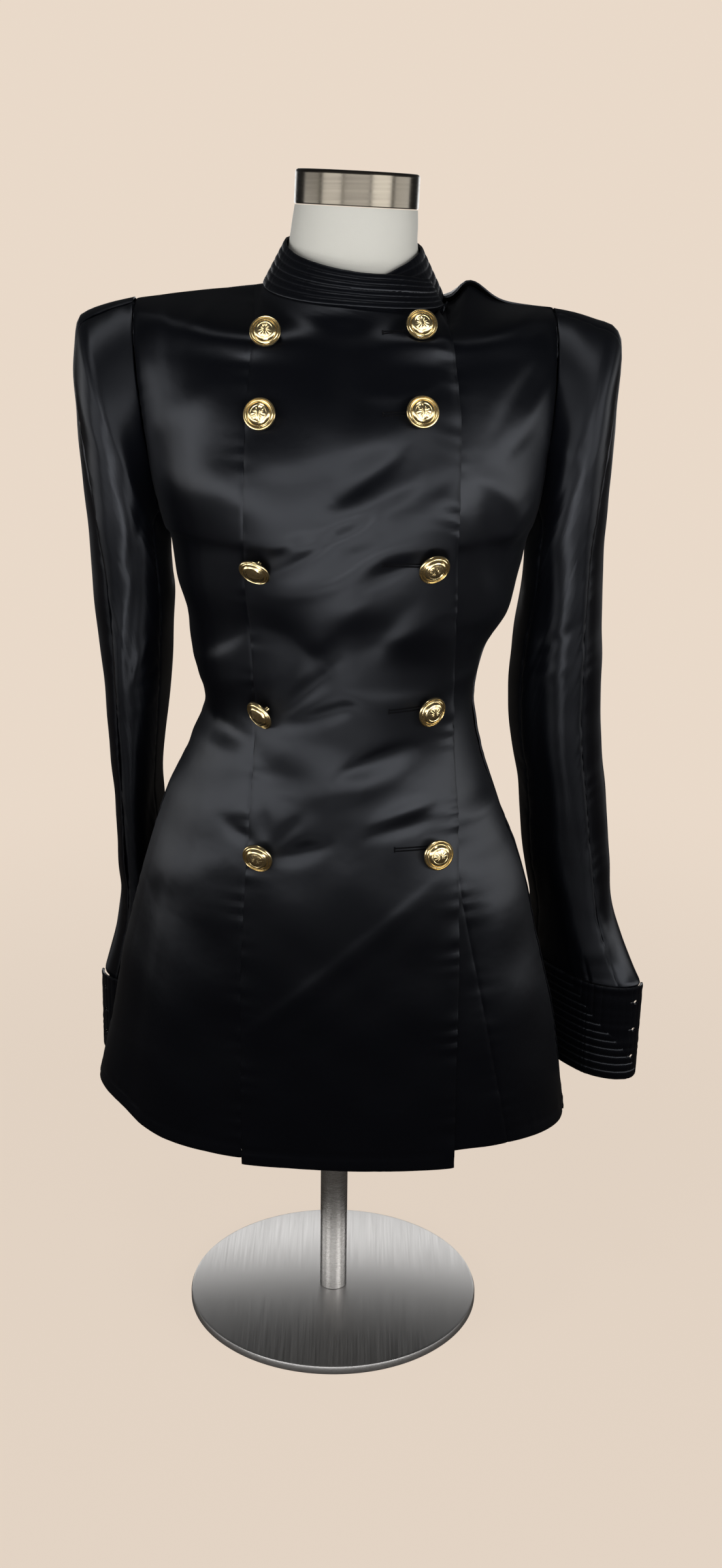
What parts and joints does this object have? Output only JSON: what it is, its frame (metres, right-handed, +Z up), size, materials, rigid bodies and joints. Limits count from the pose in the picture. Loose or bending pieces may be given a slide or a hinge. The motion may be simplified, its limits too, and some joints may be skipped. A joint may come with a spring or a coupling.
{
  "type": "military uniform jacket on a dress form",
  "caption": "Black satin double-breasted military jacket with ten gold buttons, quilted collar and cuffs, on a white dress form and steel stand.",
  "frame": {"origin": "centre of the base plate's underside", "axes": "+Z up through the pole and the neck, +X towards the wearer's left, -Y the front"},
  "size_m": [0.4878, 0.2836, 1.0027],
  "materials": {
    "satin": "soft satin sheen, black",
    "gold_button": "polished gold plate",
    "form_skin": "matte white",
    "steel": "brushed"
  },
  "bodies": {
    "root": {"front_plastron": "satin", "right_side_front": "satin", "left_centre_front": "satin", "left_side_front": "satin", "right_back": "satin", "left_back": "satin", "collar": "satin", "right_sleeve_front": "satin", "right_sleeve_back": "satin", "left_sleeve_front": "satin", "left_sleeve_back": "satin", "right_cuff": "satin", "left_cuff": "satin", "button_L1": "gold_button", "button_L2": "gold_button", "button_L3": "gold_button", "button_L4": "gold_button", "button_L5": "gold_button", "button_R1": "gold_button", "button_R2": "gold_button", "button_R3": "gold_button", "button_R4": "gold_button", "button_R5": "gold_button", "dress_form": "form_skin", "neck_cap": "steel", "pole": "steel", "base_plate": "steel"}
  },
  "joints": []
}
